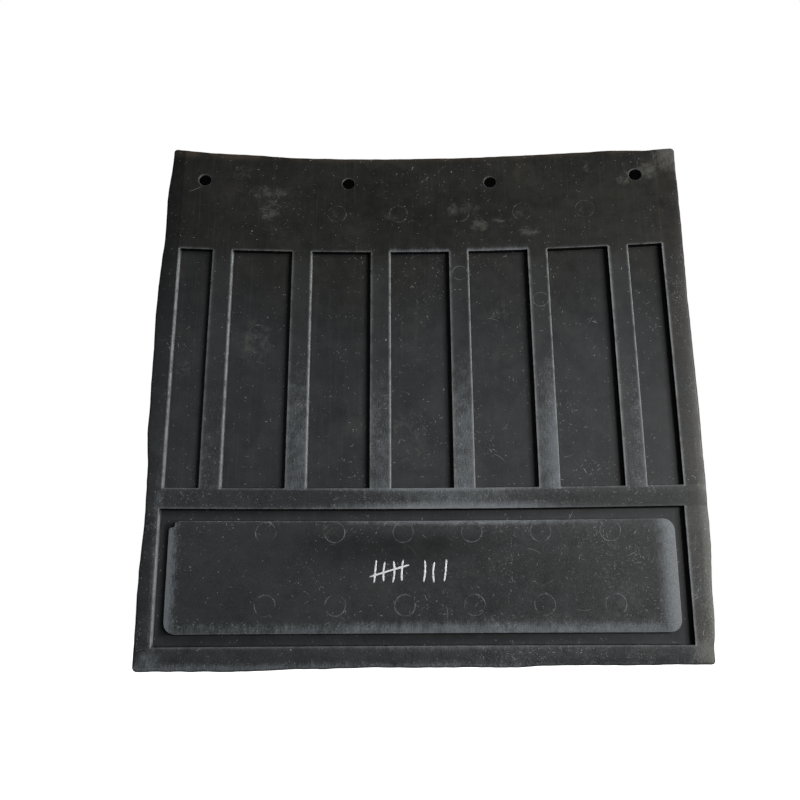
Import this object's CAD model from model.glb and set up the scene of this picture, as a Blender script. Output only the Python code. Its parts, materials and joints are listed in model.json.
"""Looks for the moulded rubber mud flap: a continuous skin with soft moulded edges over the CAD regions.

The skin is laid out flat first, in the CAD's own frame: x along the bolt row, z up, y through the
thickness. It is then given the gentle set of a sheet that has been lying about. Its materials read the
flat place of each point, so that nothing slides when the rubber bends.
"""

import json
import math

import bpy
import numpy as np
from mathutils import Matrix, Vector, noise


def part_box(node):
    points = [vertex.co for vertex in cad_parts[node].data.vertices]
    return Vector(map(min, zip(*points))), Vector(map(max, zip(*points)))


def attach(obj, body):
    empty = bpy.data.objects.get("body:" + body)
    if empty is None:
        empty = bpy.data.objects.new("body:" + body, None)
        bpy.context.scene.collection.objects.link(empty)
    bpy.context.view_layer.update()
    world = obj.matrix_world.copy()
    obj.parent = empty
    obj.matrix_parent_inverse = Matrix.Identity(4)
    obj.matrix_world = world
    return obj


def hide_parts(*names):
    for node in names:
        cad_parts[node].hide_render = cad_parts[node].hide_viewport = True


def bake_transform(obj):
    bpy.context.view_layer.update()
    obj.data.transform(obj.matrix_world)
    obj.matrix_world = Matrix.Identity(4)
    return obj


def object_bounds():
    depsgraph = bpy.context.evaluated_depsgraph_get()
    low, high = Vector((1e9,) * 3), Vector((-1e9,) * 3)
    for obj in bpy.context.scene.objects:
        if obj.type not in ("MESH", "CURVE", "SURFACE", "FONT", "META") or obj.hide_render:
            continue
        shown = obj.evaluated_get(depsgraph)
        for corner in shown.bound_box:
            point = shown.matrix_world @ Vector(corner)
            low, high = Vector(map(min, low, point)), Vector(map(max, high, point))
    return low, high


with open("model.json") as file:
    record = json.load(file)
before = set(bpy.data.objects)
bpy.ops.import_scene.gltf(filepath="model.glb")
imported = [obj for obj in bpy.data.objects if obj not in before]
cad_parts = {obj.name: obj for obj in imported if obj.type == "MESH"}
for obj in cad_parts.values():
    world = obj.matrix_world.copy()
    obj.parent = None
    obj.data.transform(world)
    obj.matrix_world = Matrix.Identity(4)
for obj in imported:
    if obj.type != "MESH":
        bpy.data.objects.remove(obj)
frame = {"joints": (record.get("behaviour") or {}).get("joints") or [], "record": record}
CAD_BOX = [list(corner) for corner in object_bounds()]

# ---- Places, all from the CAD frame, in metres ----

LEFT, FRONT, BOTTOM = CAD_BOX[0]
RIGHT, BACK, TOP = CAD_BOX[1]
JOINT_HEIGHT = {joint["name"]: joint["pos_m"][2] for joint in frame["joints"]}
UPPER_BEND = JOINT_HEIGHT["upper_bend"]
LOWER_BEND = JOINT_HEIGHT["lower_bend"]
WEB_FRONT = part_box("upper_web")[0][1]
TRAY_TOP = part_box("cross_bar")[0][2]
TRAY_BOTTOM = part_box("bottom_rail")[1][2]
INNER_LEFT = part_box("upper_rail_left")[1][0]
INNER_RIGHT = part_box("upper_rail_right")[0][0]
PAD_LOW, PAD_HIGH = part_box("raised_pad")
RIBS = [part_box(f"rib_{number}") for number in range(1, 7)]
RIB_SPANS = [(low[0], high[0]) for low, high in RIBS]
HOLES = [
    ((opening["box_m"][0][0] + opening["box_m"][1][0]) / 2, 0.0)
    for opening in frame["record"]["physics"]["openings"]
]
HOLE_RADIUS = 0.006
SPLIT = (UPPER_BEND + LOWER_BEND) / 2

# The real moulding isn't quite regular. These few shifts, all under 5 mm, are kept out of the CAD.
WALL_SHIFT = 0.0009  # the walls that face right begin a little over the rib
CELL_RISE = 0.0004  # the cells reach a little past their nominal ends
CELL_FOOT = 0.0003
TRAY_TO_LEFT = 0.0026
TRAY_FROM_RIGHT = 0.0013
TRAY_RISE = 0.0016
PAD_TO_LEFT = 0.0040
PAD_RISE = 0.0013
PAD_FALL = 0.0001

MID_DEPTH = (FRONT + BACK) / 2
FRONT_SIDE = (FRONT + BACK) / 4  # what stands before this is the ribbed side

CELL_EDGES = [INNER_LEFT] + [edge for span in RIB_SPANS for edge in span] + [INNER_RIGHT]
CELLS = [
    (CELL_EDGES[index] - WALL_SHIFT, CELL_EDGES[index + 1], LOWER_BEND - CELL_FOOT, UPPER_BEND + CELL_RISE)
    for index in range(0, len(CELL_EDGES), 2)
]
TRAY = (INNER_LEFT - TRAY_TO_LEFT, INNER_RIGHT - TRAY_FROM_RIGHT, TRAY_BOTTOM, TRAY_TOP + TRAY_RISE)
RECESSES = CELLS + [TRAY]

# ---- The shape of moulded rubber ----

WALL_RUN = 0.0008  # how far a relief wall leans, seen from the front
WALL_STEPS = 8
WALL_GUARD = 0.0003  # keeps the soft shading of a wall off the flat beside it
LIP = 0.0021  # how far the rubbed shoulder of a wall reaches over the flat beside it
SHADES_FROM_RIGHT = (0.0015, 0.003, 0.0045, 0.006, 0.008, 0.0105)  # mesh lines for shade by a wall
SHADES_FROM_TOP = (0.0015, 0.003, 0.0055, 0.0078)
FOOT_SHADE = 0.0011  # a thin dark line along the foot of a wall
EDGE_ROUND = 0.0022  # front edge of the whole flap
EDGE_STEPS = 6
BACK_ROUND = 0.0007
OUTER_CROWN = 0.009  # the outer rails fall away softly over this width
OUTER_DROP = 0.0009
RIB_SINK = 0.00022  # ribs cool with a shallow hollow along their middle
STEP = 0.005  # widest gap between mesh lines
CORNER_ROUND = 0.004
HOLE_PATCH = 0.010
HOLE_PATCH_STEPS = 10

# The set of the sheet: sides come forward, ends go back, with a slight twist.
SIDE_BOW = -0.0141
END_BOW = 0.0050
TOP_SIDE_BOW = -0.0029
TWIST = -0.0016
BOW_CENTRE = 0.0050
HALF_SPAN = (RIGHT - LEFT) / 2
MIDDLE_HEIGHT = (TOP + BOTTOM) / 2


def bow(x, z):
    """How far back the sheet stands at this place, from its own set."""
    across = x / HALF_SPAN
    up = (z - MIDDLE_HEIGHT) / HALF_SPAN
    return (
        BOW_CENTRE
        + SIDE_BOW * across**2
        + END_BOW * up**2
        + TOP_SIDE_BOW * across**2 * up
        + TWIST * across * up
    )


def s_curve(share):
    """0 to 1 with a round shoulder, a steep wall and a round foot."""
    share = np.clip(share, 0.0, 1.0)
    return share**2 / (share**2 + (1.0 - share) ** 2)


def smooth(value, low, high):
    share = np.clip((value - low) / (high - low), 0.0, 1.0)
    return share * share * (3.0 - 2.0 * share)


def most(*shares):
    """The greatest of several shares, point by point."""
    return np.max(np.broadcast_arrays(*shares), axis=0)


def wander(place, size, seed):
    """Gentle one-dimensional noise from -1 to 1."""
    return noise.noise(Vector((place / size, seed, 0.5)))


def wander_all(places, size, seed):
    return np.array([wander(place, size, seed) for place in places])


def filled(edges, low, high, step):
    """The given lines, with more between them wherever they stand further apart than step."""
    edges = sorted({round(edge, 6) for edge in edges if low - 1e-7 <= edge <= high + 1e-7})
    lines = [edges[0]]
    for edge in edges[1:]:
        if edge - lines[-1] < 5e-5:
            continue
        count = max(1, math.ceil((edge - lines[-1]) / step - 1e-6))
        start = lines[-1]
        lines += [start + (edge - start) * part / count for part in range(1, count + 1)]
    return np.array(lines)


def wall_lines(edge, inward):
    """Mesh lines down one relief wall that leans from edge towards inward, which is 1 or -1."""
    offsets = [WALL_RUN * part / WALL_STEPS for part in range(WALL_STEPS + 1)]
    offsets += [-1.7 * LIP, -LIP, -0.6 * LIP, -WALL_GUARD, WALL_RUN + WALL_GUARD, WALL_RUN + FOOT_SHADE]
    return [edge + inward * offset for offset in offsets]


def round_lines(edge, inward, radius):
    """Mesh lines over a rounded outer edge."""
    angles = [math.radians(90 * part / EDGE_STEPS) for part in range(EDGE_STEPS + 1)]
    offsets = [radius * (1 - math.cos(angle)) for angle in angles] + [radius + WALL_GUARD]
    return [edge + inward * offset for offset in offsets]


def edge_distance(x, z, box):
    left, right, low, high = box
    return np.minimum(np.minimum(x - left, right - x), np.minimum(z - low, high - z))


def rounding(distance, radius):
    """How far a quarter-round edge has fallen away at this distance in from it."""
    inside = np.clip(radius - distance, 0.0, radius)
    return radius - np.sqrt(radius**2 - inside**2)


SHEET_BOX = (LEFT, RIGHT, BOTTOM, TOP)
PAD_BOX = (PAD_LOW[0] - PAD_TO_LEFT, PAD_HIGH[0], PAD_LOW[2] - PAD_FALL, PAD_HIGH[2] + PAD_RISE)


def sheet_front(x, z):
    """Depth of the ribbed front face of the flat sheet."""
    sunk = np.zeros_like(x)
    for recess in RECESSES:
        sunk = np.maximum(sunk, s_curve(edge_distance(x, z, recess) / WALL_RUN))
    depth = FRONT + (WEB_FRONT - FRONT) * sunk
    outer = edge_distance(x, z, SHEET_BOX)
    depth += rounding(outer, EDGE_ROUND)
    depth += OUTER_DROP * np.clip(1 - outer / OUTER_CROWN, 0, 1) ** 2
    in_cells = smooth(z, LOWER_BEND, LOWER_BEND + 0.02) * smooth(-z, -UPPER_BEND, -UPPER_BEND + 0.02)
    for left, right in RIB_SPANS:
        across = (2 * x - left - right) / (right - left)
        depth += RIB_SINK * np.clip(1 - across**2, 0, 1) * in_cells
    return depth


def sheet_back(x, z):
    """Depth of the plain back face."""
    return BACK - rounding(edge_distance(x, z, SHEET_BOX), BACK_ROUND)


def round_corner(x, z, centre, out, radius):
    """Carries a square corner's points onto a round one, ring by ring, about the arc's centre."""
    across = (x - centre[0]) * out[0] / radius
    along = (z - centre[1]) * out[1] / radius
    inside = (across > 0) & (along > 0)
    reach = np.maximum(across, along)
    safe = np.where(reach > 0, reach, 1.0)
    lean = np.where(across >= along, along / safe, 2.0 - across / safe) * math.pi / 4
    x = np.where(inside, centre[0] + out[0] * radius * reach * np.cos(lean), x)
    z = np.where(inside, centre[1] + out[1] * radius * reach * np.sin(lean), z)
    return x, z


def round_corners(x, z, box, radius):
    left, right, low, high = box
    for out_x, side in ((-1, left), (1, right)):
        for out_z, end in ((-1, low), (1, high)):
            centre = (side - out_x * radius, end - out_z * radius)
            x, z = round_corner(x, z, centre, (out_x, out_z), radius)
    return x, z


class Shell:
    """A closed moulded body: a front and a back over one flat grid, joined by side walls."""

    def __init__(self, xs, zs, front, back, shape_plan, holes=()):
        self.points = []
        self.faces = []
        self.sides = []
        grid_x, grid_z = np.meshgrid(xs, zs, indexing="ij")
        plan_x, plan_z = shape_plan(grid_x, grid_z)
        self.plan = (plan_x, plan_z)
        self.count = grid_x.shape
        self.skip = np.zeros((len(xs) - 1, len(zs) - 1), bool)
        for hole in holes:
            self.mark_hole(xs, zs, hole)
        self.front = self.lay_grid(front(grid_x, grid_z))
        self.back = self.lay_grid(back(grid_x, grid_z))
        self.cover(self.front, True)
        self.cover(self.back, False)
        self.wall(self.border(), 2)
        for hole in holes:
            self.pierce(xs, zs, hole)

    def mark_hole(self, xs, zs, hole):
        middle_x = (xs[1:] + xs[:-1]) / 2
        middle_z = (zs[1:] + zs[:-1]) / 2
        near_x = np.abs(middle_x - hole[0]) < HOLE_PATCH
        near_z = np.abs(middle_z - hole[1]) < HOLE_PATCH
        self.skip |= near_x[:, None] & near_z[None, :]

    def lay_grid(self, depth):
        """Adds the grid's used points at this depth, and returns their numbers."""
        used = np.zeros(self.count, bool)
        keep = ~self.skip
        used[:-1, :-1] |= keep
        used[1:, :-1] |= keep
        used[:-1, 1:] |= keep
        used[1:, 1:] |= keep
        numbers = np.full(self.count, -1)
        numbers[used] = len(self.points) + np.arange(used.sum())
        plan_x, plan_z = self.plan
        self.points += list(zip(plan_x[used], depth[used], plan_z[used]))
        return numbers

    def cover(self, numbers, faces_front):
        for i, j in np.argwhere(~self.skip):
            corners = [numbers[i, j], numbers[i + 1, j], numbers[i + 1, j + 1], numbers[i, j + 1]]
            self.faces.append(corners if faces_front else corners[::-1])

    def border(self):
        """The grid's rim as (i, j) pairs, anticlockwise seen from the front."""
        last_i, last_j = self.count[0] - 1, self.count[1] - 1
        rim = [(i, 0) for i in range(last_i)]
        rim += [(last_i, j) for j in range(last_j)]
        rim += [(i, last_j) for i in range(last_i, 0, -1)]
        rim += [(0, j) for j in range(last_j, 0, -1)]
        return rim

    def wall(self, rim, rows):
        front_loop = [self.front[place] for place in rim]
        back_loop = [self.back[place] for place in rim]
        self.join_loops(front_loop, back_loop, rows)

    def join_loops(self, front_loop, back_loop, rows):
        """Closes the side between two matching loops, with rows of points between them."""
        loops = [front_loop]
        for row in range(1, rows + 1):
            share = row / (rows + 1)
            loop = []
            for near, far in zip(front_loop, back_loop):
                a, b = self.points[near], self.points[far]
                loop.append(len(self.points))
                self.points.append(tuple(p + (q - p) * share for p, q in zip(a, b)))
            loops.append(loop)
            self.sides += loop
        loops.append(back_loop)
        self.sides += front_loop + back_loop
        for near, far in zip(loops, loops[1:]):
            self.strip(near, far)

    def strip(self, near, far):
        for at in range(len(near)):
            after = (at + 1) % len(near)
            self.faces.append([near[after], near[at], far[at], far[after]])

    def pierce(self, xs, zs, hole):
        """Fills a hole's square patch with rings on both faces, and joins them by the hole's wall."""
        i_s = np.flatnonzero(np.abs(xs - hole[0]) < HOLE_PATCH + 1e-6)
        j_s = np.flatnonzero(np.abs(zs - hole[1]) < HOLE_PATCH + 1e-6)
        rim = [(i, j_s[0]) for i in i_s[:-1]]
        rim += [(i_s[-1], j) for j in j_s[:-1]]
        rim += [(i, j_s[-1]) for i in i_s[:0:-1]]
        rim += [(i_s[0], j) for j in j_s[:0:-1]]
        inner = []
        for numbers, outwards in ((self.front, 1), (self.back, -1)):
            loop = [numbers[place] for place in rim]
            for radius, square, sink in HOLE_RINGS:
                ring = self.hole_ring(loop, hole, radius, square, outwards * sink)
                if outwards > 0:
                    self.strip(ring, loop)
                else:
                    self.strip(loop, ring)
                loop = ring
            inner.append(loop)
        self.join_loops(inner[0][::-1], inner[1][::-1], 4)

    def hole_ring(self, loop, hole, radius, square, sink):
        """A ring inside loop. It is round at square 0, and sunk from the face by sink."""
        ring = []
        for number in loop:
            x, y, z = self.points[number]
            away = Vector((x - hole[0], z - hole[1]))
            around = away.normalized() * radius
            boxed = away * (radius / HOLE_PATCH)
            place = around.lerp(boxed, square)
            face = FRONT if sink >= 0 and y < MID_DEPTH else BACK
            ring.append(len(self.points))
            self.points.append((hole[0] + place.x, face + sink, hole[1] + place.y))
        return ring

    def build(self, name, marks):
        flat = np.array(self.points)
        values = {mark: strength(flat) for mark, strength in marks.items()}
        values["wear"][self.sides] = 0.0  # scratches would smear across the thickness
        piece = make_piece(name, flat, [list(map(int, face)) for face in self.faces], values)
        crease_cut(piece.data, flat)
        return piece


# Each ring inside a hole's patch: radius, how square it still is, and how far it has sunk.
HOLE_RINGS = (
    (0.0092, 0.55, 0.0),
    (0.0082, 0.15, 0.0),
    (0.0073, 0.0, 0.0),
    (0.0067, 0.0, 0.00005),
    (0.0063, 0.0, 0.0002),
    (0.0061, 0.0, 0.0005),
    (HOLE_RADIUS, 0.0, 0.001),
)


def crease_cut(mesh, flat):
    """Creases the edges in the plane where the two lengths of skin meet, so that their shading agrees."""
    ends = np.empty(len(mesh.edges) * 2, np.int32)
    mesh.edges.foreach_get("vertices", ends)
    in_cut = np.abs(flat[:, 2] - SPLIT) < 1e-6
    creased = in_cut[ends[0::2]] & in_cut[ends[1::2]]
    sharp = mesh.attributes.new("sharp_edge", "BOOLEAN", "EDGE")
    sharp.data.foreach_set("value", creased)


def show(name, data):
    """A new object in the scene."""
    shown = bpy.data.objects.new(name, data)
    bpy.context.scene.collection.objects.link(shown)
    return shown


def make_piece(name, flat, faces, marks):
    """A piece laid out flat, given the set of the sheet. Each point keeps its flat place and its marks."""
    placed = flat.copy()
    placed[:, 1] += bow(flat[:, 0], flat[:, 2])
    mesh = bpy.data.meshes.new(name)
    mesh.from_pydata(placed.tolist(), [], faces)
    mesh.shade_smooth()
    places = mesh.attributes.new("flat", "FLOAT_VECTOR", "POINT")
    places.data.foreach_set("vector", np.ascontiguousarray(flat, np.float32).ravel())
    for mark, values in marks.items():
        attribute = mesh.attributes.new(mark, "FLOAT", "POINT")
        attribute.data.foreach_set("value", np.clip(values, 0.0, 1.0).astype(np.float32))
    return show(name, mesh)


# ---- Where the rubber has bloomed pale and where it is worn ----


def spot(x, z, centre_x, centre_z, half_width, half_height):
    """1 at the centre of a soft oval, 0 outside it."""
    distance = np.hypot((x - centre_x) / half_width, (z - centre_z) / half_height)
    return 1.0 - smooth(distance, 0.2, 1.0)


def spots(x, z, table):
    """The strongest of some soft ovals: place, half width, half height and strength."""
    return most(*(strength * spot(x, z, *oval) for *oval, strength in table))


def band(value, centre, half_width):
    return 1.0 - smooth(np.abs(value - centre), 0.0, half_width)


RIB_BLOOM = (0.22, 0.42, 0.38, 0.55, 0.86, 0.40)


def between(value, low, high, soft):
    """1 from low to high, fading out over soft beyond them."""
    return smooth(value, low - soft, low) * (1 - smooth(value, high, high + soft))


def on_raised_face(y):
    """1 on the ribs, rails and head, 0 on the sunken floors."""
    return smooth(-y, 0.0060, 0.0080)


def rib_bloom(x, z):
    """The lower halves of the ribs are pale, towards their right-hand edge on the right-hand ribs."""
    pale = np.zeros(len(x))
    lower = smooth(-z, -UPPER_BEND + 0.06, -LOWER_BEND - 0.03) * (z > LOWER_BEND - 0.002)
    for (left, right), strength in zip(RIB_SPANS, RIB_BLOOM):
        across = np.clip((x - left) / (right - left), 0, 1)
        side = 0.35 + 0.65 * smooth(across, 0.2, 0.95) if left > 0.05 else 0.8 + 0.2 * across
        on_rib = between(x, left - 0.001, right, 0.001)
        pale = most(pale, strength * lower * on_rib * side)
    return pale


def bar_bloom(x, z):
    """The cross bar is palest along its two edges, right of the middle."""
    on_bar = between(z, TRAY_TOP, LOWER_BEND, 0.001)
    along_foot = 1 - smooth(z, TRAY_TOP + 0.0015, TRAY_TOP + 0.012)
    along_top = smooth(z, LOWER_BEND - 0.0065, LOWER_BEND - 0.0005)
    return most(
        on_bar * along_foot * (0.10 + 0.90 * band(x, 0.035, 0.17)),
        on_bar * along_top * (0.12 + 0.75 * band(x, 0.020, 0.14)),
        on_bar * (0.44 * band(x, 0.03, 0.11)),
    )


def rail_bloom(x, z):
    """The outer rails: a soft pale line inside the left one, and a band down the outside of the right one."""
    inside_left = between(x, INNER_LEFT - 0.0055, INNER_LEFT, 0.0025)
    outside_right = smooth(x, RIGHT - 0.0070, RIGHT + 0.0005)
    on_right = smooth(x, INNER_RIGHT - 0.003, INNER_RIGHT)
    below_tray = between(z, TRAY_BOTTOM - 0.002, TRAY_BOTTOM, 0.004)
    at_foot = smooth(-z, -BOTTOM - 0.008, -BOTTOM - 0.001)
    in_rail = smooth(-z, -TRAY_BOTTOM, -TRAY_BOTTOM + 0.003)
    return most(
        0.30 * inside_left * smooth(-z, 0.20, 0.36),
        outside_right * (0.12 + 0.60 * smooth(-z, 0.14, 0.42)),
        0.22 * on_right * smooth(-z, 0.22, 0.42),
        (0.16 + 0.20 * band(x, 0.02, 0.12)) * below_tray,
        0.52 * at_foot,
        0.10 * in_rail,
    )


BLOOM_TOP = 0.02  # the rails' bloom ends below the top edge

# Soft pale patches on the raised faces: place, half width, half height and strength.
PATCHES = (
    (RIGHT - 0.004, BOTTOM + 0.010, 0.026, 0.030, 0.66),
    (LEFT + 0.012, BOTTOM + 0.008, 0.020, 0.014, 0.42),
    (RIGHT, TOP - 0.008, 0.024, 0.032, 0.62),
)


def sheet_bloom(flat):
    x, y, z = flat.T
    pale = most(rib_bloom(x, z), bar_bloom(x, z), rail_bloom(x, z) * (z < BLOOM_TOP), spots(x, z, PATCHES))
    for left, right, _, head in CELLS:
        above = between(z, head, head + 0.0010, 0.0045) * between(x, left, right, 0.003)
        strength = 0.06 + 0.50 * band((left + right) / 2, 0.04, 0.11)
        pale = most(pale, strength * above)
    return pale * on_raised_face(y)


# Rubbed-in dirt: place, half width, half height and strength.
SMEARS = (
    (0.034, -0.030, 0.012, 0.012, 0.85),
    (0.052, -0.028, 0.016, 0.010, 0.75),
    (0.060, -0.048, 0.014, 0.016, 0.80),
    (0.080, -0.043, 0.020, 0.004, 0.80),
    (0.108, -0.058, 0.018, 0.008, 0.80),
    (-0.150, -0.012, 0.036, 0.013, 0.64),
    (-0.152, -0.032, 0.017, 0.020, 0.66),
    (-0.178, 0.010, 0.022, 0.014, 0.50),
    (-0.087, -0.036, 0.012, 0.012, 0.45),
    (-0.026, -0.036, 0.018, 0.012, 0.40),
    (0.100, -0.036, 0.010, 0.010, 0.48),
    (0.161, -0.036, 0.010, 0.010, 0.40),
    (0.226, 0.003, 0.020, 0.016, 0.80),
    (0.205, -0.004, 0.012, 0.014, 0.60),
    (0.170, 0.012, 0.006, 0.022, 0.55),
    (-0.015, -0.262, 0.034, 0.050, 0.44),
    (0.078, -0.140, 0.018, 0.022, 0.46),
    (-0.160, -0.170, 0.028, 0.042, 0.50),
    (-0.226, -0.200, 0.012, 0.020, 0.45),
    (-0.005, -0.175, 0.022, 0.030, 0.34),
)
PAD_SMEARS = (
    (0.175, -0.412, 0.055, 0.040, 0.50),
    (0.115, -0.428, 0.030, 0.012, 0.55),
    (-0.083, -0.352, 0.018, 0.016, 0.45),
    (0.150, -0.366, 0.060, 0.006, 0.40),
)


def sheet_smear(flat):
    x, y, z = flat.T
    return spots(x, z, SMEARS) * (y < FRONT_SIDE)


def pad_smear(flat):
    x, _, z = flat.T
    return spots(x, z, PAD_SMEARS)


def rubbed_up_to(distance):
    """Grows pale towards the shoulder of a wall, and ends half way down the wall."""
    return smooth(distance, -LIP, 0.0) ** 1.3 * (1 - smooth(distance, 0.5 * WALL_RUN, 0.8 * WALL_RUN))


def rubbed_away_from(distance):
    """Palest at the very edge of a wall that stays dark, and fades out over the flat."""
    return (1 - smooth(-distance, 0.0, 1.7 * LIP)) * (1 - smooth(distance, 0.0, 0.2 * WALL_RUN))


def sheet_lip(flat):
    """Where the moulding is rubbed pale: the shoulders of the relief, and the walls that face right."""
    x, y, z = flat.T
    rubbed = np.zeros(len(x))
    for left, right, low, high in RECESSES:
        beside = (z > low - WALL_GUARD) & (z < high + WALL_GUARD)
        over = (x > left - WALL_GUARD) & (x < right + WALL_GUARD)
        faces_left = 0.32 + 0.50 * smooth(right, -0.05, 0.20)
        crispness = 2.2 if (left, right, low, high) == TRAY else 1.0
        rubbed = most(
            rubbed,
            beside * rubbed_up_to(x - left) ** crispness,
            faces_left * beside * rubbed_away_from(right - x) ** 1.8,
            0.34 * over * rubbed_away_from(high - z) ** 3,
            0.34 * over * rubbed_away_from(z - low) ** 3,
        )
    for centre_x, centre_z in HOLES:
        away = np.hypot(x - centre_x, z - centre_z)
        rubbed = most(rubbed, 0.3 * (1 - smooth(away, HOLE_RADIUS, HOLE_RADIUS + 0.0012)))
    return rubbed * (y < MID_DEPTH)


def pad_lip(flat):
    x, _, z = flat.T
    left, right, low, high = PAD_BOX
    return most(
        0.35 * (x - left < 0.0014),
        0.8 * (right - x < 0.0014),
        0.34 * (1 - smooth(right - x, 0.0020, 0.0130)),
        0.42 * (z - low < 0.0012),
        0.42 * (high - z < 0.0012),
    )


def shade_under(distance, start, reach):
    """Dark from just inside a wall's edge to start, and gone at reach."""
    return smooth(distance, 0.0, 0.35 * WALL_RUN) * (1 - smooth(distance, start, reach))


def foot_line(distance):
    past_foot = smooth(distance, WALL_RUN, WALL_RUN + FOOT_SHADE)
    return smooth(distance, 0.5 * WALL_RUN, WALL_RUN) * (1 - past_foot)


def tray_shade(x, z):
    """The dark margins of the tray beside and below the pad."""
    left, right, low, high = PAD_BOX
    beside = between(z, low + 0.002, high - 0.004, 0.006)
    over = between(x, left + 0.004, right - 0.004, 0.006)
    below = (0.54 + 0.30 * band(x, 0.05, 0.20)) * (1 - smooth(low - z, 0.0, 0.012))
    return most(
        0.96 * beside * (1 - smooth(left - x, 0.0010, 0.0072)) * (x < left + 0.004),
        below * over * (z < low + 0.002),
        0.40 * over * (1 - smooth(z - high, 0.0005, 0.0013)) * (z > high - 0.002),
    )


def sheet_shade(flat):
    """Where grime and depth swallow the light: beside walls that face left or down, and at walls' feet."""
    x, y, z = flat.T
    dark = np.zeros(len(x))
    for left, right, low, high in RECESSES:
        beside = (z > low) & (z < high)
        over = (x > left) & (x < right)
        under_strength, under_reach = (0.84, 0.0098) if (left, right, low, high) == TRAY else (0.76, 0.0056)
        dark = most(
            dark,
            0.97 * beside * shade_under(right - x, 0.0010, 0.0088 + 0.010 * right),
            over * (under_strength * shade_under(high - z, 0.0008, under_reach)),
            0.55 * beside * foot_line(x - left),
            0.50 * over * foot_line(z - low),
        )
    on_bar = (z > TRAY[3]) & (z < LOWER_BEND - 2 * LIP)
    on_right_rail = (x > INNER_RIGHT + LIP) & (z > LOWER_BEND)
    on_floor = y > FRONT + 0.5 * (WEB_FRONT - FRONT)
    dark = most(
        dark,
        tray_shade(x, z) * (edge_distance(x, z, TRAY) > WALL_RUN),
        0.54 * (x < INNER_LEFT - LIP) * smooth(z, -0.26, -0.10),
        0.46 * on_bar * smooth(x, 0.08, 0.14),
        0.32 * on_right_rail,
        0.34 * spot(x, z, -0.010, -0.030, 0.130, 0.060),
        0.22 * on_floor * smooth(x, 0.11, 0.20),
    )
    return dark * (y < FRONT_SIDE)


def pad_shade(flat):
    x, _, z = flat.T
    dark = most(0.72 * spot(x, z, -0.015, -0.361, 0.150, 0.036), 0.34 * smooth(x, -0.06, 0.06))
    return dark * smooth(edge_distance(x, z, PAD_BOX), 0.004, 0.020)


BACK_SKIN = 0.001
BACK_WEAR = 0.5  # the back is half as scratched


def sheet_wear(flat):
    """Handled and scratched: little at the head, more on the floors, most on the lower right faces."""
    x, y, z = flat.T
    below_head = smooth(-z, -UPPER_BEND + 0.03, -LOWER_BEND + 0.03)
    on_floor = 0.20 + 0.27 * smooth(x, -0.14, 0.10)
    on_face = 0.18 + below_head * (0.38 + 0.38 * smooth(x, -0.10, 0.16))
    rail = smooth(x, INNER_RIGHT, INNER_RIGHT + 0.004) * smooth(-z, 0.02, 0.14)
    on_face = most(on_face, 0.85 * rail)
    worn = on_floor + (on_face - on_floor) * on_raised_face(y)
    return worn * np.where(y > BACK - BACK_SKIN, BACK_WEAR, 1.0)


def pad_bloom(flat):
    """A pale border: strong on the right, soft on the left and below, thin above."""
    x, _, z = flat.T
    left, right, low, high = PAD_BOX
    from_right = (1 - smooth(right - x, 0.0015, 0.0260)) ** 1.2
    from_left = (1 - smooth(x - left, 0.0005, 0.0160)) ** 1.2
    from_low = 1 - smooth(z - low, 0.003, 0.0155)
    from_high = 1 - smooth(high - z, 0.0, 0.0075)
    return most(
        1.16 * from_right,
        0.84 * from_left,
        from_low * (0.36 + 0.30 * smooth(x, -0.16, 0.04)),
        from_high * (0.20 + 0.78 * band(x, 0.05, 0.16)),
    )


def pad_wear(flat):
    """More and more worn towards the right."""
    return 0.32 + 0.68 * smooth(flat[:, 0], -0.10, 0.12)


# ---- The skin, in two lengths that meet half way down the ribs ----

SHEET_MARKS = {
    "bloom": sheet_bloom,
    "wear": sheet_wear,
    "lip": sheet_lip,
    "smear": sheet_smear,
    "shade": sheet_shade,
}
PAD_MARKS = {"bloom": pad_bloom, "wear": pad_wear, "lip": pad_lip, "smear": pad_smear, "shade": pad_shade}


def patch_lines(centre):
    """Mesh lines over the square patch round a hole."""
    steps = range(HOLE_PATCH_STEPS + 1)
    return [centre - HOLE_PATCH + 2 * HOLE_PATCH * part / HOLE_PATCH_STEPS for part in steps]


def sheet_lines_x():
    lines = round_lines(LEFT, 1, EDGE_ROUND) + round_lines(RIGHT, -1, EDGE_ROUND)
    lines += [LEFT + BACK_ROUND, RIGHT - BACK_ROUND, LEFT + CORNER_ROUND, RIGHT - CORNER_ROUND]
    for left, right, _, _ in RECESSES:
        lines += wall_lines(left, 1) + wall_lines(right, -1)
        lines += [right - shade for shade in SHADES_FROM_RIGHT]
    lines += [PAD_BOX[0] - offset for offset in (0.001, 0.003, 0.005, 0.007)]
    for centre, _ in HOLES:
        lines += patch_lines(centre)
    return filled(lines, LEFT, RIGHT, STEP)


def sheet_lines_z(low, high):
    lines = [low, high]
    lines += round_lines(BOTTOM, 1, EDGE_ROUND) + round_lines(TOP, -1, EDGE_ROUND)
    lines += [BOTTOM + BACK_ROUND, TOP - BACK_ROUND, BOTTOM + CORNER_ROUND, TOP - CORNER_ROUND]
    for _, _, foot, head in (CELLS[0], TRAY):
        lines += wall_lines(head, -1) + wall_lines(foot, 1)
        lines += [head - shade for shade in SHADES_FROM_TOP]
    lines += [PAD_BOX[2] - offset for offset in (-0.0005, 0.0, 0.003, 0.006)]
    lines += [PAD_BOX[3] + offset for offset in (0.0, 0.0005, 0.0013)]
    return filled(lines + patch_lines(0.0), low, high, STEP)


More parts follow.
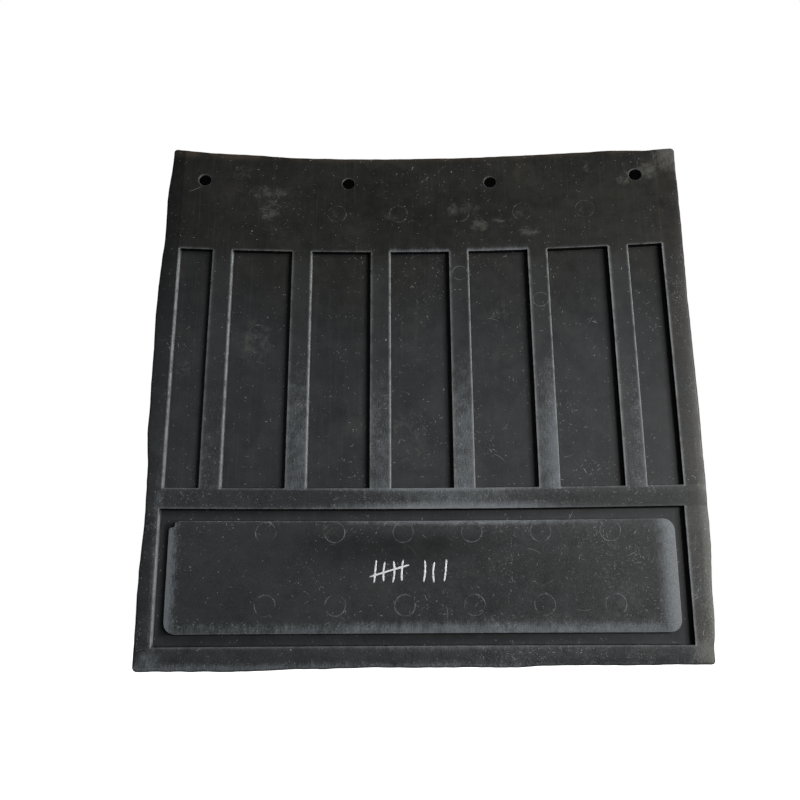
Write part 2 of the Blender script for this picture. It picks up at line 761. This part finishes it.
# How far each trimmed edge stands outside its nominal line, as (place along the edge, offset) points.
TRIM_LEFT = ((-0.47, 0.0020), (-0.39, 0.0018), (-0.34, 0.0002), (-0.30, 0.0006), (-0.25, 0.0028),
             (-0.12, 0.0034), (-0.07, 0.0012), (-0.02, 0.0012), (0.02, -0.0010))
TRIM_RIGHT = ((-0.47, -0.0004), (-0.41, 0.0022), (-0.36, 0.0040), (-0.20, 0.0046), (-0.14, 0.0042),
              (-0.05, 0.0055), (0.03, 0.0062))
TRIM_TOP = ((-0.25, 0.0046), (-0.20, 0.0030), (-0.10, 0.0006), (0.02, 0.0004), (0.08, 0.0011),
            (0.19, 0.0010), (0.235, -0.0022))
TRIM_BOTTOM = ((-0.25, 0.0015), (-0.17, 0.0017), (-0.10, 0.0002), (-0.05, -0.0008), (0.07, -0.0006),
               (0.12, -0.0020), (0.25, -0.0024))
TRIM_WAVE = 0.0005
TRIM_BAND = 0.0150  # the trim is taken up over this width
TRIM_EDGE = 0.0040  # and the outermost strip keeps its shape


def eased(places, points):
    """Smooth steps from each point to the next."""
    values = np.full(len(places), points[0][1])
    for (start, low), (end, high) in zip(points, points[1:]):
        values = values + (high - low) * smooth(places, start, end)
    return values


def trim(places, points, seed, coarse, fine):
    ripple = wander_all(places, coarse, seed) + 0.7 * wander_all(places, fine, seed + 0.9)
    return eased(places, points) + TRIM_WAVE * ripple


def trim_sheet(x, z):
    """Rounds the sheet's corners and moves its trimmed edges a little."""
    x, z = round_corners(x, z, SHEET_BOX, CORNER_ROUND)
    rows, columns = z[0], x[:, 0]
    by_left = smooth(-x, -LEFT - TRIM_BAND, -LEFT - TRIM_EDGE)
    by_right = smooth(x, RIGHT - TRIM_BAND, RIGHT - TRIM_EDGE)
    by_low = smooth(-z, -BOTTOM - TRIM_BAND, -BOTTOM - TRIM_EDGE)
    by_high = smooth(z, TOP - TRIM_BAND, TOP - TRIM_EDGE)
    x = x - by_left * trim(rows, TRIM_LEFT, 1.3, 0.030, 0.008)[None, :]
    x = x + by_right * trim(rows, TRIM_RIGHT, 3.7, 0.025, 0.006)[None, :]
    z = z - by_low * trim(columns, TRIM_BOTTOM, 5.2, 0.040, 0.009)[:, None]
    z = z + by_high * trim(columns, TRIM_TOP, 7.1, 0.045, 0.010)[:, None]
    return x, z


def sheet_piece(name, low, high, holes, bend, nodes):
    shell = Shell(sheet_lines_x(), sheet_lines_z(low, high), sheet_front, sheet_back, trim_sheet, holes)
    piece = shell.build(name, SHEET_MARKS)
    bend_with(piece, bend)
    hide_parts(*nodes)
    return piece


def bend_with(piece, bend):
    """The piece bends about one hinge line, between the body above it and the one below."""
    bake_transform(piece)


def make_sheets():
    upper_nodes = ["head_band", "upper_web", "upper_rail_left", "upper_rail_right"]
    upper_nodes += [f"rib_{number}" for number in range(1, 7)]
    lower_nodes = ["lower_web", "cross_bar", "lower_rail_left", "lower_rail_right", "bottom_rail"]
    upper = sheet_piece("upper_sheet", SPLIT, TOP, HOLES, UPPER_BEND, upper_nodes)
    lower = sheet_piece("lower_sheet", BOTTOM, SPLIT, (), LOWER_BEND, lower_nodes)
    return upper, lower


# ---- The raised pad ----

PAD_CORNER = 0.011
PAD_SHOULDER = 0.0011
PAD_CROWN = 0.012
PAD_CROWN_DROP = 0.0006
PAD_FOOT = 0.0004  # the pad's foot is let into the web
CHIP_PLACE = (PAD_BOX[0] + 0.0030, PAD_BOX[3] - 0.0036)
CHIP_REACH = 0.0034
CHIP_DEPTH = 0.0030
CHIP_LEAN = 0.71  # the bite goes in at 45 degrees


def pad_front(x, z):
    distance = edge_distance(x, z, PAD_BOX)
    height = (WEB_FRONT + PAD_FOOT - PAD_LOW[1]) * s_curve(0.28 + 0.72 * distance / PAD_SHOULDER)
    crown = PAD_CROWN_DROP * np.clip(1 - distance / PAD_CROWN, 0, 1) ** 2
    return WEB_FRONT + PAD_FOOT - height + crown


def pad_back(x, z):
    return np.full_like(x, WEB_FRONT + PAD_FOOT)


def shape_pad(x, z):
    """Rounds the pad's corners and bites a small chip out of the upper left one."""
    x, z = round_corners(x, z, PAD_BOX, PAD_CORNER)
    away = np.hypot(x - CHIP_PLACE[0], z - CHIP_PLACE[1])
    bite = CHIP_DEPTH * np.clip(1 - away / CHIP_REACH, 0, 1)
    return x + bite * CHIP_LEAN, z - bite * CHIP_LEAN


def pad_lines(low, high):
    lines = []
    for edge, inward in ((low, 1), (high, -1)):
        lines += [edge + inward * PAD_SHOULDER * part / 9 for part in range(10)]
        lines += [edge + inward * (PAD_SHOULDER + offset) for offset in (0.0003, 0.0012, 0.0025)]
        lines += [edge + inward * PAD_CORNER * part / 10 for part in range(3, 11)]
    return filled(lines, low, high, STEP)


def make_pad():
    left, right, low, high = PAD_BOX
    shell = Shell(pad_lines(left, right), pad_lines(low, high), pad_front, pad_back, shape_pad)
    pad = shell.build("raised_pad_skin", PAD_MARKS)
    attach(pad, "lower_panel")
    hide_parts("raised_pad")
    return pad


# ---- Witness rings left by the mould's screwed inserts, and the marker strokes on the pad ----

SMALL_WEAR = 0.4
RING_RADIUS = 0.0091
RING_HALF_WIDTH = 0.00055
RING_HEIGHT = 0.00012
RING_SINK = 0.00006  # the ridge's feet stay under the face
RING_SEGMENTS = 72
RING_PITCH = 0.0618
RING_FIRST = -0.142
RING_COLUMNS = 6
PAD_RING_ROWS = (-0.3525, -0.4165)
PAD_ROW_SHIFT = 0.0012
HEAD_RING_ROW = -0.0345
HEAD_RING_SHIFT = 0.003
RIB_RING_PLACES = ((3, -0.100), (4, -0.130))
RIB_RING_RADIUS = 0.8 * RING_RADIUS
RING_PROFILE = ((-1.4, 0.0), (-0.7, 0.75), (0.0, 1.0), (0.7, 0.75), (1.4, 0.0))


def make_small_piece(name, points, faces, bloom):
    """A small piece on the sheet, a little worn and with no other marks but its bloom."""
    none = np.zeros(len(points))
    marks = {"bloom": np.array(bloom), "wear": none + SMALL_WEAR, "lip": none, "smear": none, "shade": none}
    return make_piece(name, np.array(points), faces, marks)


def ring_strength(angle, seed):
    """A ring shows in arcs: 0 where it has faded out, 1 where it is crisp."""
    value = noise.noise(Vector((1.1 * math.cos(angle), 1.1 * math.sin(angle), seed * 3.7)))
    return min(1.0, max(0.0, 0.55 + 1.5 * value))


def make_rings(name, rings, depth, bloom_value):
    """Low half-round ridges that run in circles."""
    points, faces, bloom = [], [], []
    rows = len(RING_PROFILE)
    for seed, (centre, radius) in enumerate(rings):
        start = len(points)
        for segment in range(RING_SEGMENTS):
            angle = 2 * math.pi * segment / RING_SEGMENTS
            strength = ring_strength(angle, seed + radius * 1000)
            for offset, rise in RING_PROFILE:
                reach = radius + offset * RING_HALF_WIDTH
                x = centre[0] + reach * math.cos(angle)
                z = centre[1] + reach * math.sin(angle)
                height = rise * (RING_SINK + RING_HEIGHT * strength) - RING_SINK
                points.append((x, depth(x, z) - height, z))
                bloom.append(bloom_value * (0.45 + 0.55 * strength))
            here = start + segment * rows
            after = start + (segment + 1) % RING_SEGMENTS * rows
            for row in range(rows):
                beside = (row + 1) % rows
                faces.append([here + row, after + row, after + beside, here + beside])
    return make_small_piece(name, points, faces, bloom)


def pad_depth(x, z):
    return float(pad_front(np.array(x), np.array(z)))


def sheet_depth(x, z):
    return float(sheet_front(np.array(x), np.array(z)))


def make_all_rings():
    columns = [RING_FIRST + RING_PITCH * index for index in range(RING_COLUMNS)]
    pad_rings = [
        ((x + PAD_ROW_SHIFT * row, z), RING_RADIUS) for row, z in enumerate(PAD_RING_ROWS) for x in columns
    ]
    on_pad = make_rings("pad_mould_rings", pad_rings, pad_depth, 0.46)
    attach(on_pad, "lower_panel")
    head_rings = [((x - HEAD_RING_SHIFT, HEAD_RING_ROW), RING_RADIUS) for x in columns]
    on_head = make_rings("head_mould_rings", head_rings, sheet_depth, 0.26)
    bend_with(on_head, UPPER_BEND)
    rib_rings = [((sum(RIB_SPANS[rib]) / 2, height), RIB_RING_RADIUS) for rib, height in RIB_RING_PLACES]
    on_ribs = make_rings("rib_mould_rings", rib_rings, sheet_depth, 0.40)
    bend_with(on_ribs, UPPER_BEND)
    return on_pad, on_head, on_ribs


# A plain tally in white marker: each stroke's lower and upper end, from the tally's own corner.
TALLY_CORNER = Vector((-0.046, -0.397))
TALLY_STROKES = (
    ((0.0015, 0.0000), (0.0035, 0.0200)),
    ((0.0100, 0.0010), (0.0112, 0.0185)),
    ((0.0182, 0.0000), (0.0190, 0.0190)),
    ((0.0262, 0.0015), (0.0275, 0.0200)),
    ((-0.0030, 0.0050), (0.0330, 0.0155)),
    ((0.0455, 0.0005), (0.0470, 0.0195)),
    ((0.0548, 0.0000), (0.0556, 0.0180)),
    ((0.0640, 0.0010), (0.0662, 0.0200)),
)
STROKE_HALF_WIDTH = 0.0010
STROKE_STEPS = 14
STROKE_RISE = 0.00008
STROKE_SWAY = 0.0010
STROKE_PROFILE = ((-1.0, -0.5), (-0.6, 1.0), (0.6, 1.0), (1.0, -0.5))


def make_tally():
    """Thin, closed ribbons of marker paint with uneven edges, rounded at their ends."""
    points, faces = [], []
    rows = len(STROKE_PROFILE)
    for seed, (low, high) in enumerate(TALLY_STROKES):
        start = len(points)
        low, high = Vector(low), Vector(high)
        side = (high - low).orthogonal().normalized()
        sway = STROKE_SWAY * math.sin(seed * 2.3)
        for step in range(STROKE_STEPS + 1):
            share = step / STROKE_STEPS
            middle = TALLY_CORNER + low.lerp(high, share) + side * sway * math.sin(math.pi * share)
            end_round = math.sqrt(max(0.0, 1 - (2 * share - 1) ** 8))
            width = STROKE_HALF_WIDTH * (0.25 + 0.75 * end_round) * (1 + 0.35 * wander(share, 0.11, seed))
            for across, rise in STROKE_PROFILE:
                x, z = middle + side * width * across
                points.append((x, pad_depth(x, z) - STROKE_RISE * rise, z))
        for step in range(STROKE_STEPS):
            here = start + step * rows
            for row in range(rows):
                beside = (row + 1) % rows
                faces.append([here + row, here + beside, here + rows + beside, here + rows + row])
        last = start + STROKE_STEPS * rows
        faces.append([start + row for row in reversed(range(rows))])
        faces.append([last + row for row in range(rows)])
    tally = make_small_piece("tally_marks", points, faces, np.zeros(len(points)))
    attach(tally, "lower_panel")
    return tally


# ---- Materials ----


class Nodes:
    """Short names for the shader nodes that these materials are made of."""

    def __init__(self, name):
        self.material = bpy.data.materials.new(name)
        self.material.use_nodes = True
        self.tree = self.material.node_tree
        self.shader = self.tree.nodes["Principled BSDF"]

    def new(self, kind):
        return self.tree.nodes.new("ShaderNode" + kind)

    def feed(self, node, inputs):
        """Gives a node its inputs, each by a link or as a plain value, and returns its outputs."""
        for key, value in inputs.items():
            if isinstance(value, bpy.types.NodeSocket):
                self.tree.links.new(value, node.inputs[key])
            else:
                node.inputs[key].default_value = value
        return node.outputs

    def attribute(self, name, output="Fac"):
        node = self.new("Attribute")
        node.attribute_name = name
        return node.outputs[output]

    def math(self, operation, a, b=0.0):
        node = self.new("Math")
        node.operation = operation
        return self.feed(node, {0: a, 1: b})[0]

    def chain(self, operation, values):
        result = values[0]
        for value in values[1:]:
            result = self.math(operation, result, value)
        return result

    def times(self, *values):
        return self.chain("MULTIPLY", values)

    def plus(self, *values):
        return self.chain("ADD", values)

    def most(self, *values):
        return self.chain("MAXIMUM", values)

    def swing(self, value, middle, strength):
        """How far the value is from its middle, up or down, times the strength."""
        return self.times(self.math("SUBTRACT", value, middle), strength)

    def away(self, a, b):
        node = self.new("VectorMath")
        node.operation = "SUBTRACT"
        return self.feed(node, {0: a, 1: b})[0]

    def stretch(self, vector, scale, shift=(0.0, 0.0, 0.0)):
        return self.feed(self.new("Mapping"), {"Vector": vector, "Scale": scale, "Location": shift})[0]

    def noise(self, vector, scale, detail=2.0, roughness=0.5, distortion=0.0):
        inputs = {"Vector": vector, "Scale": scale, "Detail": detail}
        inputs |= {"Roughness": roughness, "Distortion": distortion}
        return self.feed(self.new("TexNoise"), inputs)["Fac"]

    def cells(self, plane, scale):
        node = self.new("TexVoronoi")
        node.voronoi_dimensions = "2D"
        return self.feed(node, {"Vector": plane, "Scale": scale})

    def fade(self, value, low, high, to_low=0.0, to_high=1.0):
        node = self.new("MapRange")
        node.interpolation_type = "SMOOTHSTEP"
        limits = {"From Min": low, "From Max": high, "To Min": to_low, "To Max": to_high}
        return self.feed(node, {"Value": value} | limits)["Result"]

    def mix(self, share, a, b):
        node = self.new("Mix")
        node.data_type = "RGBA"
        return self.feed(node, {0: share, 6: a, 7: b})[2]

    def bump(self, height, strength, distance, under=(0.0, 0.0, 0.0)):
        inputs = {"Height": height, "Strength": strength, "Distance": distance, "Normal": under}
        return self.feed(self.new("Bump"), inputs)["Normal"]

    def split(self, vector):
        return self.feed(self.new("SeparateXYZ"), {0: vector})

    def combine(self, x, y):
        return self.feed(self.new("CombineXYZ"), {0: x, 1: y})[0]

    def turned(self, vector, angle):
        node = self.new("VectorRotate")
        node.rotation_type = "Z_AXIS"
        return self.feed(node, {"Vector": vector, "Angle": angle})[0]


WARM_DARK = (0.0062, 0.0063, 0.0052, 1.0)
WARM_LIGHT = (0.0166, 0.0168, 0.0138, 1.0)
COOL_DARK = (0.0096, 0.0116, 0.0142, 1.0)
COOL_LIGHT = (0.0262, 0.0304, 0.0345, 1.0)
RIB_COLOUR = (0.0275, 0.0315, 0.0325, 1.0)
RIGHT_RAIL_COLOUR = (0.0290, 0.0240, 0.0170, 1.0)
TOP_EDGE_COLOUR = (0.060, 0.045, 0.033, 1.0)
SMEAR_COLOUR = (0.082, 0.082, 0.075, 1.0)
WARM_BLOOM = (0.143, 0.142, 0.127, 1.0)
BLOOM_COLOUR = (0.157, 0.175, 0.194, 1.0)
LIP_COLOUR = (0.262, 0.278, 0.288, 1.0)
GRIT_COLOUR = (0.22, 0.23, 0.24, 1.0)
SHADE_COLOUR = (0.0005, 0.0007, 0.0014, 1.0)
DUST_COLOUR = (0.060, 0.056, 0.046, 1.0)
SPECK_COLOUR = (0.32, 0.33, 0.32, 1.0)
HAIR_COLOUR = (0.29, 0.30, 0.30, 1.0)
ROUGHNESS = 0.48
UPRIGHT_STREAKS = (1.0, 1.0, 0.035)
LEVEL_STREAKS = (0.035, 1.0, 1.0)
BACK_SHIFT = 0.7  # the back's hairs and specks come from another stretch of the pattern
THIN_MARKER = (0.20, 0.21, 0.22, 1.0)
THICK_MARKER = (0.80, 0.84, 0.86, 1.0)


class Rubber(Nodes):
    """Old black rubber. Its looks are laid on one over the other, from the raw colour to the dust."""

    def __init__(self, name, streak_scale):
        super().__init__(name)
        self.place = self.attribute("flat", "Vector")
        self.bloom = self.attribute("bloom")
        self.wear = self.attribute("wear")
        self.lip = self.attribute("lip")
        self.smear = self.attribute("smear")
        self.shade = self.attribute("shade")
        self.across, self.depth, self.height = self.split(self.place)
        self.grain = self.noise(self.place, 1000.0, 2.0, 0.6)
        self.mottle = self.noise(self.place, 30.0, 6.0, 0.62)
        self.cloud = self.noise(self.place, 95.0, 3.0, 0.6)
        self.tone = self.plus(self.times(self.grain, 0.75), self.times(self.mottle, 0.65))
        self.film = self.bloom_film()
        base = self.raw_rubber()
        base = self.streaked(base, streak_scale)
        base = self.tinted(base)
        base = self.grimy(base)
        base = self.bloomed(base)
        base = self.smeared(base)
        base = self.rubbed(base)
        base = self.gritty(base)
        base = self.mix(self.shade, base, SHADE_COLOUR)
        base = self.marked(base)
        self.feed(self.shader, {"Base Color": base, "Specular IOR Level": 0.40})
        self.make_surface()

    def raw_rubber(self):
        """Warm black at the head and cool below, mottled and grainy."""
        clouds = self.noise(self.place, 7.0, 3.0, 0.6)
        upness = self.plus(self.fade(self.height, -0.30, 0.02), self.math("SUBTRACT", clouds, 0.5))
        warmth = self.fade(upness, 0.1, 0.9)
        dark = self.mix(warmth, COOL_DARK, WARM_DARK)
        light = self.mix(warmth, COOL_LIGHT, WARM_LIGHT)
        return self.mix(self.fade(self.tone, 0.47, 0.90), dark, light)

    def streaked(self, base, streak_scale):
        dusty = self.noise(self.stretch(self.place, (1, 1, 1), (0.31, 0.12, 0.77)), 24.0, 7.0, 0.68)
        base = self.mix(self.fade(dusty, 0.50, 0.80, 0.0, 0.35), base, DUST_COLOUR)
        streaks = self.noise(self.stretch(self.place, streak_scale), 420.0, 3.0, 0.6)
        return self.mix(self.fade(streaks, 0.50, 0.80, 0.0, 0.06), base, BLOOM_COLOUR)

    def tinted(self, base):
        """The ribs, the right rail and the top edge each have their own cast."""
        raised = self.fade(self.depth, WEB_FRONT - 0.0020, WEB_FRONT - 0.0035)
        below_head = self.fade(self.height, UPPER_BEND + 0.004, UPPER_BEND - 0.030)
        past_left_rail = self.fade(self.across, INNER_LEFT - 0.001, INNER_LEFT + 0.001, 0.25, 1.0)
        patchy = self.fade(self.tone, 0.4, 0.9, 0.2, 0.7)
        base = self.mix(self.times(raised, below_head, patchy, past_left_rail), base, RIB_COLOUR)
        on_right = self.fade(self.across, INNER_RIGHT - 0.001, INNER_RIGHT + 0.001)
        patchy = self.fade(self.mottle, 0.35, 0.65, 0.1, 0.9)
        base = self.mix(self.times(on_right, raised, patchy), base, RIGHT_RAIL_COLOUR)
        at_top = self.fade(self.height, TOP - 0.008, TOP)
        patchy = self.fade(self.mottle, 0.35, 0.65, 0.2, 0.8)
        return self.mix(self.times(at_top, patchy), base, TOP_EDGE_COLOUR)

    def grimy(self, base):
        grime = self.fade(self.noise(self.place, 55.0, 5.0, 0.62), 0.42, 0.60, 0.42, 0.0)
        return self.mix(self.times(grime, self.fade(self.wear, 0.1, 0.8)), base, SHADE_COLOUR)

    def bloom_film(self):
        """The share of pale bloom, ragged at its edges."""
        strokes = self.noise(self.stretch(self.place, (1.0, 1.0, 0.2)), 800.0, 2.0, 0.6)
        ragged = self.plus(self.times(self.grain, 0.7), self.times(strokes, 0.7), self.times(self.cloud, 0.5))
        film = self.fade(self.plus(self.bloom, self.swing(ragged, 0.95, 1.1)), 0.05, 0.95)
        return self.times(film, self.fade(self.bloom, 0.02, 0.25))

    def bloomed(self, base):
        warm_side = self.fade(self.across, RIGHT - 0.030, RIGHT - 0.005)
        return self.mix(self.film, base, self.mix(warm_side, BLOOM_COLOUR, WARM_BLOOM))

    def smeared(self, base):
        swirl = self.noise(self.place, 130.0, 4.0, 0.7, 0.8)
        dirt = self.plus(self.smear, self.swing(swirl, 0.5, 2.2), self.swing(self.grain, 0.5, 0.8))
        dirt = self.times(self.fade(dirt, 0.25, 1.15, 0.0, 0.85), self.fade(self.smear, 0.02, 0.3))
        return self.mix(dirt, base, SMEAR_COLOUR)

    def rubbed(self, base):
        broken = self.times(self.lip, self.fade(self.cloud, 0.30, 0.55, 0.45, 1.0))
        return self.mix(broken, base, LIP_COLOUR)

    def gritty(self, base):
        lumps = self.fade(self.noise(self.place, 300.0, 3.0, 0.65), 0.48, 0.72, 0.0, 0.12)
        base = self.mix(self.times(lumps, self.fade(self.wear, 0.3, 1.0)), base, BLOOM_COLOUR)
        grit = self.fade(self.noise(self.place, 1250.0, 2.0, 0.7), 0.38, 0.62)
        gritty = self.mix(grit, self.mix(0.54, base, SHADE_COLOUR), self.mix(0.16, base, GRIT_COLOUR))
        return self.mix(self.fade(self.wear, 0.1, 1.0, 0.08, 0.68), base, gritty)

    def marked(self, base):
        """Hairs and specks, gathered in places, and dim where it is dark."""
        on_back = self.math("GREATER_THAN", self.depth, FRONT_SIDE)
        plane = self.combine(self.plus(self.across, self.times(on_back, BACK_SHIFT)), self.height)
        gathered = self.noise(self.stretch(self.place, (1, 1, 1), (0.13, 0.53, 0.41)), 16.0, 4.0, 0.65)
        lit = self.fade(self.shade, 0.2, 0.9, 1.0, 0.15)

        worn = self.times(self.wear, self.fade(gathered, 0.44, 0.62, 0.25, 1.0))
        long_hairs = self.hairs(plane, self.wear, 36.0, 0.0080, 0.00032, 90.0, 0.20)
        short_hairs = self.hairs(plane, worn, 105.0, 0.0030, 0.00032, 230.0, 0.34)
        tiny_hairs = self.hairs(plane, worn, 250.0, 0.0015, 0.00026, 260.0, 0.62)
        scratched = self.most(self.times(long_hairs, 0.60), short_hairs, tiny_hairs)
        scratched = self.times(scratched, self.fade(self.cloud, 0.35, 0.65, 0.15, 1.0), lit)
        base = self.mix(scratched, base, HAIR_COLOUR)

        coarse = self.specks(plane, self.wear, 60.0, 0.0009, 0.10)
        fine = self.specks(plane, self.wear, 240.0, 0.00045, 0.20)
        fine = self.times(fine, self.fade(gathered, 0.40, 0.60, 0.15, 0.7))
        dusted = self.times(self.wear, self.fade(gathered, 0.48, 0.66))
        powder = self.specks(plane, dusted, 620.0, 0.0006, 0.80)
        flecks = self.most(coarse, fine, self.times(powder, 0.60))
        flecks = self.times(flecks, lit, self.fade(self.wear, 0.0, 0.10))
        return self.mix(flecks, base, SPECK_COLOUR)

    def hairs(self, plane, wear, scale, length, width, curl, share):
        """Short hair-like scratches: at most one in each cell, at any angle, some of them curled."""
        cells = self.cells(plane, scale)
        chance = self.split(cells["Color"])
        angle = self.times(chance[0], 2 * math.pi)
        across, along, _ = self.split(self.turned(self.away(plane, cells["Position"]), angle))
        bent = self.times(across, across, self.swing(chance[1], 0.5, curl))
        off_line = self.math("ABSOLUTE", self.math("SUBTRACT", along, bent))
        line = self.fade(off_line, 0.3 * width, width, 1.0, 0.0)
        extent = self.fade(self.math("ABSOLUTE", across), 0.5 * length, length, 1.0, 0.0)
        least = self.fade(wear, 0.0, 1.0, 1.0, 1.0 - share)
        kept = self.math("GREATER_THAN", chance[2], least)
        strength = self.times(kept, self.fade(chance[1], 0.0, 1.0, 0.25, 1.0))
        return self.times(line, extent, strength)

    def specks(self, plane, wear, scale, radius, share):
        """Small dots of dust, one at most in each cell, each of its own size and strength."""
        cells = self.cells(plane, scale)
        chance = self.split(cells["Color"])
        edge = self.math("SUBTRACT", self.times(chance[1], radius * scale), cells["Distance"])
        dot = self.fade(edge, 0.0, 0.3 * radius * scale)
        least = self.fade(wear, 0.0, 1.0, 1.0 - 0.08 * share, 1.0 - share)
        kept = self.math("GREATER_THAN", chance[0], least)
        return self.times(dot, kept, self.fade(chance[2], 0.3, 1.0, 0.12, 1.0))

    def make_surface(self):
        """Duller where it has bloomed, with a fine skin over broad soft lumps."""
        uneven = self.fade(self.cloud, 0.3, 0.7, ROUGHNESS - 0.05, ROUGHNESS + 0.06)
        skin = self.bump(self.noise(self.place, 1500.0, 2.0, 0.55), 0.10, 0.0002)
        skin = self.bump(self.mottle, 0.20, 0.0006, skin)
        dulled = self.plus(uneven, self.times(self.film, 0.12))
        self.feed(self.shader, {"Roughness": dulled, "Normal": skin})


def marker_paint():
    """White marker that has skipped over the rubber's grain."""
    nodes = Nodes("marker_paint")
    skips = nodes.noise(nodes.attribute("flat", "Vector"), 700.0, 3.0, 0.6)
    looks = {
        "Base Color": nodes.mix(nodes.fade(skips, 0.30, 0.48), THIN_MARKER, THICK_MARKER),
        "Roughness": nodes.fade(skips, 0.3, 0.7, 0.45, 0.65),
        "Normal": nodes.bump(skips, 0.3, 0.0001),
    }
    nodes.feed(nodes.shader, looks)
    return nodes.material


def give(material, *pieces):
    for piece in pieces:
        piece.data.materials.clear()
        piece.data.materials.append(material)


# ---- Camera, floor and light ----

CAMERA_TILT = math.radians(15.0)
CAMERA_TURN = math.radians(-0.53)
CAMERA_ROLL = math.radians(0.29)
CAMERA_DISTANCE = 0.753
CAMERA_AIM = Vector((-0.0205, FRONT + BOW_CENTRE, -0.2293))
LENS = 36.0
FLOOR_DROP = 0.035
FLOOR_REACH = 6.0
FLOOR_GREY = (0.9, 0.9, 0.9, 1)
WHITE = (1, 1, 1, 1)
PALE_BLUE = (0.93, 0.97, 1.0, 1)
NEAR_BLACK = (0.002, 0.002, 0.002, 1)


def plain(name, colour, roughness, specular, glow):
    """One even material for the things round the object."""
    nodes = Nodes(name)
    looks = {"Base Color": colour, "Roughness": roughness, "Specular IOR Level": specular}
    nodes.feed(nodes.shader, looks | glow)
    return nodes.material


def make_camera():
    data = bpy.data.cameras.new("camera")
    data.lens = LENS
    data.sensor_width = LENS  # the lens is as long as the sensor is wide
    camera = show("camera", data)
    turn = Matrix.Rotation(-CAMERA_TURN, 4, "Z")
    tilt = Matrix.Rotation(math.radians(90) + CAMERA_TILT, 4, "X")
    roll = Matrix.Rotation(-CAMERA_ROLL, 4, "Z")
    facing = turn @ tilt @ roll
    forward = facing.to_3x3() @ Vector((0, 0, -1))
    camera.matrix_world = Matrix.Translation(CAMERA_AIM - forward * CAMERA_DISTANCE) @ facing
    bpy.context.scene.camera = camera


def make_floor():
    """A pale floor under the hanging flap. It doesn't throw light back up at the rubber."""
    mesh = bpy.data.meshes.new("floor")
    reach = FLOOR_REACH
    corners = [(-reach, -reach, 0), (reach, -reach, 0), (reach, reach, 0), (-reach, reach, 0)]
    mesh.from_pydata(corners, [], [[0, 1, 2, 3]])
    floor = show("floor", mesh)
    floor.location = (0, 0, BOTTOM - FLOOR_DROP)
    floor.visible_diffuse = False
    floor.visible_glossy = False
    white_glow = {"Emission Color": WHITE, "Emission Strength": 1.0}
    give(plain("pale_floor", FLOOR_GREY, 0.9, 0.1, white_glow), floor)


BACKING_DEPTH = 0.0012
BACKING_OVERLAP = 0.0002  # the rim is let into the wall, so no light passes it
BACKING_SEGMENTS = 32


def make_hole_backing():
    """Small dark discs inside the bolt holes, which read as dark as they do on a flap that lies down."""
    black = plain("hole_backing", NEAR_BLACK, 1.0, 0.0, {})
    reach = HOLE_RADIUS + BACKING_OVERLAP
    turns = [2 * math.pi * step / BACKING_SEGMENTS for step in range(BACKING_SEGMENTS)]
    rim = [(reach * math.cos(turn), 0, reach * math.sin(turn)) for turn in turns]
    for number, (x, z) in enumerate(HOLES, 1):
        mesh = bpy.data.meshes.new(f"hole_backing_{number}")
        mesh.from_pydata(rim, [], [list(range(BACKING_SEGMENTS))])
        disc = show(f"hole_backing_{number}", mesh)
        disc.location = (x, FRONT + BACKING_DEPTH + bow(x, z), z)
        give(black, disc)


def make_light(name, place, aim, size, power, colour=(1, 1, 1)):
    data = bpy.data.lights.new(name, "AREA")
    data.shape = "RECTANGLE"
    data.size, data.size_y = size
    data.energy = power
    data.color = colour
    light = show(name, data)
    light.location = place
    direction = Vector(aim) - Vector(place)
    light.rotation_mode = "QUATERNION"
    light.rotation_quaternion = direction.to_track_quat("-Z", "Y")


def make_world():
    """White behind the object, and a dimmer even light on it."""
    world = bpy.data.worlds.new("studio")
    bpy.context.scene.world = world
    world.use_nodes = True
    tree = world.node_tree
    tree.nodes.clear()
    seen, lit = (tree.nodes.new("ShaderNodeBackground") for _ in range(2))
    for background, colour, strength in ((seen, WHITE, 1.0), (lit, PALE_BLUE, 0.055)):
        background.inputs["Color"].default_value = colour
        background.inputs["Strength"].default_value = strength
    path = tree.nodes.new("ShaderNodeLightPath")
    mix = tree.nodes.new("ShaderNodeMixShader")
    output = tree.nodes.new("ShaderNodeOutputWorld")
    tree.links.new(path.outputs["Is Camera Ray"], mix.inputs[0])
    tree.links.new(lit.outputs[0], mix.inputs[1])
    tree.links.new(seen.outputs[0], mix.inputs[2])
    tree.links.new(mix.outputs[0], output.inputs["Surface"])


def make_studio():
    make_camera()
    make_floor()
    make_hole_backing()
    make_world()
    middle = (0.0, 0.0, MIDDLE_HEIGHT)
    make_light("key", (1.30, -1.25, -0.08), middle, (1.0, 0.5), 40.0, (1.0, 0.985, 0.96))
    make_light("fill", (-0.9, -1.7, 0.0), middle, (1.2, 1.2), 1.5, (0.90, 0.95, 1.0))
    make_light("back_fill", (0.6, 1.6, 0.6), middle, (1.2, 1.2), 26.0)
    bpy.context.scene.view_settings.view_transform = "Standard"


# ---- The whole model ----

upper_sheet, lower_sheet = make_sheets()
raised_pad = make_pad()
pad_rings, head_rings, rib_rings = make_all_rings()
tally = make_tally()

moulded_rubber = Rubber("moulded_rubber", UPRIGHT_STREAKS).material
pad_rubber = Rubber("pad_rubber", LEVEL_STREAKS).material
give(moulded_rubber, upper_sheet, lower_sheet, head_rings, rib_rings)
give(pad_rubber, raised_pad, pad_rings)
give(marker_paint(), tally)
make_studio()
